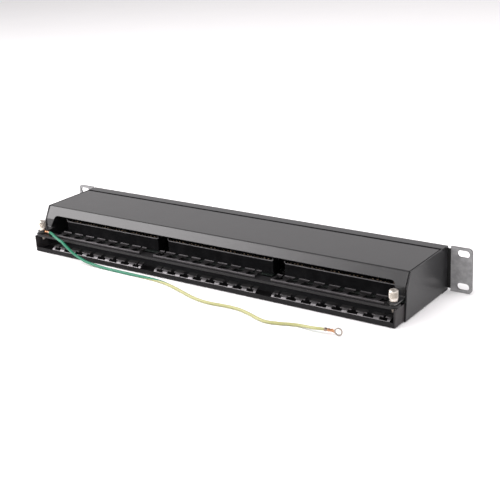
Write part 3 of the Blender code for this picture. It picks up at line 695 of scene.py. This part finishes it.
# One contact spring: depth behind the front and drop below the socket's roof, mm.
SPRING = [(2.2, 0.35), (5.0, 0.7), (9.6, 3.3), (10.2, 3.2)]
SPRING_CORNERS = [(-0.22, -0.12), (0.22, -0.12), (0.22, 0.12), (-0.22, 0.12)]


def shield_mesh(half, front, rear, bottom, top):
    """Folded shield: two sides, roof, floor and back."""
    work = bmesh.new()
    start = front + SHIELD_SETBACK
    inner = half - SHEET_INSET
    for low, high in (
            ((-half, start, bottom), (-half + SHEET, rear, top)),
            ((half - SHEET, start, bottom), (half, rear, top)),
            ((-inner, start, top - SHEET), (inner, rear, top)),
            ((-inner, front + SHIELD_FLOOR_FROM, bottom), (inner, rear, bottom + SHEET)),
            ((-inner, rear - SHEET, bottom + SHEET_INSET), (inner, rear, top - SHEET_INSET))):
        add_box(work, low, high, SHEET_BEVEL)
    return finish_mesh(work, "port_shield")


def housing_mesh(half, front, rear, bottom, top):
    """A block inside the shield, whose socket opens to the front."""
    work = bmesh.new()
    inner = half - SHEET
    outline = [(-inner, bottom + SHEET), (inner, bottom + SHEET), (inner, top - SHEET),
               (-inner, top - SHEET)]
    hole = [(x * MM, bottom + SOCKET_FLOOR + z * MM) for x, z in SOCKET]
    hole += [(-x, z) for x, z in reversed(hole)]
    mouths = [[work.verts.new((x, front, z)) for x, z in loop] for loop in (outline, hole)]
    edges = [work.edges.new((loop[k], loop[(k + 1) % len(loop)])) for loop in mouths
             for k in range(len(loop))]
    bmesh.ops.triangle_fill(work, use_beauty=True, use_dissolve=False, edges=edges)
    backs = [[work.verts.new((x, y, z)) for x, z in loop]
             for loop, y in ((outline, rear - SHEET), (hole, front + SOCKET_DEPTH))]
    for mouth, back in zip(mouths, backs):
        skin(work, [mouth, back], capped=False)
    for back in backs:
        work.faces.new(back)
    return finish_mesh(work, "port_housing", angle=30)


def contacts_mesh(front, bottom):
    """Eight springs that slope down into the socket."""
    work = bmesh.new()
    roof = bottom + SOCKET_FLOOR + SOCKET_HEIGHT
    for pin in range(PINS):
        x = (pin - (PINS - 1) / 2) * PIN_PITCH
        skin(work, [[work.verts.new((x + dx * MM, front + depth * MM, roof - drop * MM + dz * MM))
                     for dx, dz in SPRING_CORNERS] for depth, drop in SPRING])
    return finish_mesh(work, "port_contacts", angle=30)


def make_ports(shield, housing, contact):
    """Each socket: folded shield, moulded housing and eight springs, from three shared meshes."""
    names = nodes_with("port_jack_")
    low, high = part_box(names[0])
    size = ((high.x - low.x) / 2, low.y, high.y, low.z, high.z)
    parts = (("shield", shield_mesh(*size), shield, "jack_shield"),
             ("housing", housing_mesh(*size), housing, "black_plastic"),
             ("contacts", contacts_mesh(low.y, low.z), contact, "jack_shield"))
    for name in names:
        low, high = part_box(name)
        for part, mesh, material, slot in parts:
            piece = add_piece(f"port_{part}_{name[-2:]}", mesh, material, "panel",
                              ((low.x + high.x) / 2, 0, 0))
            if part == "shield":
                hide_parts(name)


NUMERAL_SIZE = 3.6 * MM
NUMERAL_THICK = 0.02 * MM
NUMERAL_LIFT = 3.4 * MM          # from the port's top to the numeral's foot
MERGE = 0.002 * MM


def make_numerals(ink):
    """Port numbers 1 to 24 printed above the sockets, read from the front."""
    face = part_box("front_panel")[0].y
    work = bmesh.new()
    for name in nodes_with("port_jack_"):
        low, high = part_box(name)
        text = bpy.data.curves.new("numeral", "FONT")
        text.body = str(int(name[-2:]))
        text.size = NUMERAL_SIZE
        text.align_x = "CENTER"
        text.extrude = NUMERAL_THICK
        carrier = bpy.data.objects.new("numeral", text)
        bpy.context.scene.collection.objects.link(carrier)
        bpy.context.view_layer.update()
        graph = bpy.context.evaluated_depsgraph_get()
        mesh = bpy.data.meshes.new_from_object(carrier.evaluated_get(graph))
        place = Vector(((low.x + high.x) / 2, face - NUMERAL_THICK, high.z + NUMERAL_LIFT))
        mesh.transform(Matrix.Translation(place) @ Matrix.Rotation(math.pi / 2, 4, "X"))
        work.from_mesh(mesh)
        bpy.data.objects.remove(carrier)
        bpy.data.meshes.remove(mesh)
    bmesh.ops.remove_doubles(work, verts=work.verts, dist=MERGE)
    mesh = finish_mesh(work, "port_numerals", smooth=False)
    add_piece("port_numerals", mesh, ink, "panel")


# --- terminal blocks --------------------------------------------------------
BLOCK_SLOTS = 16
# Blades stand in pairs in the slots: offset, half thickness, and reach from the block's front
# and from its top.
BLADE_OFFSET = 0.32 * MM
BLADE_HALF = 0.16 * MM
BLADE_FRONT, BLADE_BACK = 1.2 * MM, 3.6 * MM
BLADE_TOP, BLADE_FOOT = 1.2 * MM, 6.6 * MM
BLADE_BEVEL = 0.05 * MM
# The rear blocks have a ledge with a rounded rim, over which the contacts' bent ends show.
LEDGE = 27.2 * MM                # height
CLIP_OFFSET = 1.7 * MM
CLIP_HALF = 0.8 * MM
CLIP_FRONT, CLIP_BACK = 1.9 * MM, 1.3 * MM       # from the block's rear face
CLIP_SUNK = 0.3 * MM
CLIP_BEVEL = 0.12 * MM
RIM = 0.55 * MM                  # radius
RIM_SUNK = 0.45                  # its middle behind the block's rear face, in radii
RIM_SIDES = 12
RIM_STEPS = 12
RIM_END = 0.9 * MM
# Upturned ends of the rim: reach past the block and height over the ledge, from the tip.
RIM_TURNS = [(0.15 * MM, 2.3 * MM), (0.1 * MM, 1.0 * MM)]


def make_blades(metal):
    """Insulation-displacement blades standing in the slots of every terminal block."""
    for name in nodes_with("terminal_block"):
        low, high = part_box(name)
        work = bmesh.new()
        for slot in range(1, BLOCK_SLOTS):
            for side in (-1, 1):
                x = low.x + (high.x - low.x) * slot / BLOCK_SLOTS + side * BLADE_OFFSET
                add_box(work, (x - BLADE_HALF, low.y + BLADE_FRONT, high.z - BLADE_FOOT),
                        (x + BLADE_HALF, low.y + BLADE_BACK, high.z - BLADE_TOP), BLADE_BEVEL)
        mesh = finish_mesh(work, f"{name}_blades")
        add_piece(f"{name}_blades", mesh, metal, "panel")


def make_clip_ends(metal):
    """Bent ends of the contacts, in uneven pairs along the ledge of every rear block."""
    for name in nodes_with("rear_terminal_block"):
        low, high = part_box(name)
        work = bmesh.new()
        for slot in range(BLOCK_SLOTS):
            for side in (-1, 1):
                x = low.x + (high.x - low.x) * (slot + 0.5) / BLOCK_SLOTS + side * CLIP_OFFSET
                rise = (1.0 + 0.35 * math.sin(2.4 * slot + side)) * MM
                add_box(work, (x - CLIP_HALF, high.y - CLIP_FRONT, LEDGE - CLIP_SUNK),
                        (x + CLIP_HALF, high.y - CLIP_BACK, LEDGE + rise), CLIP_BEVEL)
        mesh = finish_mesh(work, f"{name}_clip_ends")
        add_piece(f"{name}_clip_ends", mesh, metal, "panel")


def make_rims(material):
    """Rounded rim along the ledge of every rear terminal block, turned up at its ends."""
    across = Vector((0, 1, 0))
    for name in nodes_with("rear_terminal_block"):
        low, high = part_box(name)
        span = high.x - low.x - 2 * RIM_END
        path = [(low.x - reach, LEDGE + lift) for reach, lift in RIM_TURNS]
        path += [(low.x + RIM_END + span * step / RIM_STEPS, LEDGE)
                 for step in range(RIM_STEPS + 1)]
        path += [(high.x + reach, LEDGE + lift) for reach, lift in reversed(RIM_TURNS)]
        work = bmesh.new()
        loops = []
        for index, (x, z) in enumerate(path):
            before, after = path[max(index - 1, 0)], path[min(index + 1, len(path) - 1)]
            along = Vector((after[0] - before[0], 0, after[1] - before[1])).normalized()
            upward = across.cross(along)
            centre = Vector((x, high.y - RIM * RIM_SUNK, z))
            loops.append([
                work.verts.new(centre + (across * math.cos(angle) + upward * math.sin(angle)) * RIM)
                for angle in angles(RIM_SIDES)])
        skin(work, loops)
        mesh = finish_mesh(work, f"{name}_rim", angle=60)
        add_piece(f"{name}_rim", mesh, material, "panel")


# --- light and stage --------------------------------------------------------
FLOOR_HALF = 4.0
FLOOR_DROP = 0.2 * MM            # keeps the floor clear of the panel's underside
SOFT_WHITE = (1.0, 0.972, 0.984)
HORIZON, OVERHEAD = 0.90, 0.22               # brightness of the surround
HORIZON_END, OVERHEAD_FROM = 0.50, 0.80      # sines of the elevations between the two


def make_stage():
    """White paper floor."""
    work = bmesh.new()
    bmesh.ops.create_grid(work, x_segments=8, y_segments=8, size=FLOOR_HALF)
    bmesh.ops.translate(work, verts=work.verts, vec=(0, 0, -FLOOR_DROP))
    mesh = finish_mesh(work, "paper_floor", smooth=False)
    floor = bpy.data.objects.new("paper_floor", mesh)
    bpy.context.scene.collection.objects.link(floor)
    mesh.materials.append(floor_paper("paper"))


def add_light(name, direction, distance, size, power):
    """A soft box in a direction from the panel, aimed at it."""
    data = bpy.data.lights.new(name, "AREA")
    data.shape = "RECTANGLE"
    data.size, data.size_y = size
    data.energy = power
    data.color = SOFT_WHITE
    light = bpy.data.objects.new(name, data)
    bpy.context.scene.collection.objects.link(light)
    way = Vector(direction).normalized()
    light.location = way * distance
    light.rotation_euler = way.to_track_quat("Z", "Y").to_euler()
    return light


def make_light():
    """A surround that is white near the horizon and dim overhead, and two soft boxes."""
    world = bpy.data.worlds.new("surround")
    world.use_nodes = True
    tree = world.node_tree
    background = tree.nodes["Background"]
    background.inputs["Strength"].default_value = 1.0
    place = tree.nodes.new("ShaderNodeTexCoord")
    split = tree.nodes.new("ShaderNodeSeparateXYZ")
    rise = tree.nodes.new("ShaderNodeMapRange")
    rise.interpolation_type = "SMOOTHSTEP"
    for name, value in (("From Min", HORIZON_END), ("From Max", OVERHEAD_FROM),
                        ("To Min", HORIZON), ("To Max", OVERHEAD)):
        rise.inputs[name].default_value = value
    tint = tree.nodes.new("ShaderNodeMix")
    tint.data_type = "RGBA"
    tint.blend_type = "MULTIPLY"
    tint.inputs["Factor"].default_value = 1.0
    tint.inputs[MIX_B].default_value = (*SOFT_WHITE, 1)
    for source, target in (
            (place.outputs["Generated"], split.inputs["Vector"]),
            (split.outputs["Z"], rise.inputs["Value"]),
            (rise.outputs["Result"], tint.inputs[MIX_A]),
            (tint.outputs[MIX_RESULT], background.inputs["Color"])):
        tree.links.new(source, target)
    bpy.context.scene.world = world
    add_light("rear_box", (0.72, 0.46, 0.52), 1.6, (1.15, 1.15), 23.0)
    fill = add_light("fill_box", (-0.1, 0.1, 1.0), 2.4, (3.4, 3.0), 76.0)
    fill.visible_glossy = False
    bpy.context.scene.view_settings.view_transform = "Standard"


# --- assembly ---------------------------------------------------------------
make_camera()
MATERIALS = {
    # The lid, walls and panel take edges darker than their coat: painted shade along seams and
    # bends.
    "lid": powder_coat("black_powder_coat_lid", (0.009, 0.009, 0.0095), specular=0.68,
                       wear_and_shade=0.95, edge_wear_shade_colour=(0.003, 0.003, 0.003)),
    "walls": powder_coat("black_powder_coat_walls", wear_and_shade=0.95,
                         edge_wear_shade_colour=(0.004, 0.004, 0.004)),
    "panel": powder_coat("black_powder_coat_bare_ears", wear_and_shade=0.5,
                         edge_wear_shade_colour=(0.006, 0.006, 0.006), bare_ears=True),
    # Both tie combs stand for one black-painted sheet, painted as lighter plated metal, the lower
    # one lighter still: painted reflection of the rear soft box.
    "upper_tabs": plated_steel("dark_grey_plate_painted_reflection", (0.085, 0.081, 0.084), 0.5),
    "lower_tabs": plated_steel("light_grey_plate_painted_reflection", (0.23, 0.222, 0.228), 0.5),
    "ledge": powder_coat("black_powder_coat_ledge", (0.010, 0.0095, 0.010), 0.42, 0.25),
    # The tray's coat is the black powder coat painted darker as painted shade, with its end walls
    # painted lighter as painted light.
    "tray": powder_coat("black_powder_coat_tray", (0.008, 0.0075, 0.008), 0.44, 0.13,
                        sideways_painted_light_colour=(0.05, 0.047, 0.048)),
    # The rim is painted lighter grey than the black block: a painted highlight along its rounded
    # edge.
    "rim": moulded("grey_moulding_painted_highlight", (0.16, 0.155, 0.158), 0.45, specular=0.4),
    "shield": plated_steel("nickel_plated_shield", (0.66, 0.655, 0.63), 0.26, (900, 80, 900)),
    "plastic": moulded("black_moulding", (0.0035, 0.0035, 0.004), 0.6, specular=0.06),
    "board": solder_mask("solder_mask"),
    "gold": contact_metal("gold_contact", (0.86, 0.62, 0.26), (0.70, 0.45, 0.15)),
    "bronze": contact_metal("bronze_contact", (0.27, 0.20, 0.135), (0.09, 0.068, 0.05)),
    "nickel": knurled_nickel("knurled_nickel"),
    "terminal": terminal_metal("tinned_copper_terminal"),
    "insulation": striped_insulation("striped_insulation"),
    "ink": printed_ink("white_ink"),
}
main_cord(MATERIALS["insulation"], MATERIALS["terminal"])
make_stage()
make_light()

# The finish of the CAD nodes whose names hold a text; the others are bare plated metal.
FINISHES = {
    "front_panel": "panel", "chassis": "walls", "rear_cable_tray": "tray", "rear_ledge": "ledge",
    "top_cover": "lid", "upper_tie_comb": "upper_tabs", "lower_tie_comb": "lower_tabs",
    "circuit_board": "board", "terminal_block": "plastic",
}
for node_name, node_object in NODES.items():
    finish = next((look for text, look in FINISHES.items() if text in node_name), "shield")
    node_object.data.materials.clear()
    node_object.data.materials.append(MATERIALS[finish])

make_thumbscrew("left_knurled_screw", "thumbscrew_left", "left_thumbscrew", MATERIALS["nickel"])
make_thumbscrew("right_knurled_screw", "thumbscrew_right", "right_thumbscrew", MATERIALS["nickel"])
make_ports(MATERIALS["shield"], MATERIALS["plastic"], MATERIALS["gold"])
make_numerals(MATERIALS["ink"])
make_blades(MATERIALS["shield"])
make_clip_ends(MATERIALS["bronze"])
make_rims(MATERIALS["rim"])
